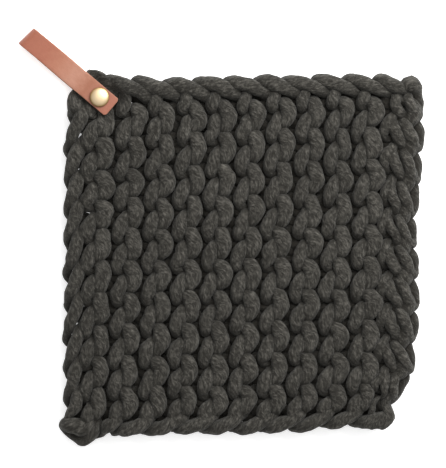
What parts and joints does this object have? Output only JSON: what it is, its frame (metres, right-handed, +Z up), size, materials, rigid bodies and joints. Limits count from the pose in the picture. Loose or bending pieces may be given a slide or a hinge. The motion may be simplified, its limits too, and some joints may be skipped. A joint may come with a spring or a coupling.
{
  "type": "pot holder",
  "caption": "Square hand-knitted garter stitch pot holder of thick soft yarn, with a riveted folded leather hanging loop at one corner.",
  "frame": {"origin": "middle of the outline on plan, on the surface the pot holder lies on", "axes": "+Z up out of the face that shows, +Y along the knitted ridges towards the edge with the leather loop, +X across the ridges from the cast-on edge to the bound-off edge"},
  "size_m": [0.2278, 0.2334, 0.0168],
  "materials": {
    "yarn": "matte dark charcoal-olive cotton yarn, finely mottled",
    "strap": "smooth tan leather, satin",
    "rivet": "polished brass"
  },
  "bodies": {
    "root": {"knit_mat": "yarn", "leather_strap": "strap", "rivet_cap": "rivet", "rivet_back_cap": "rivet"}
  },
  "joints": []
}
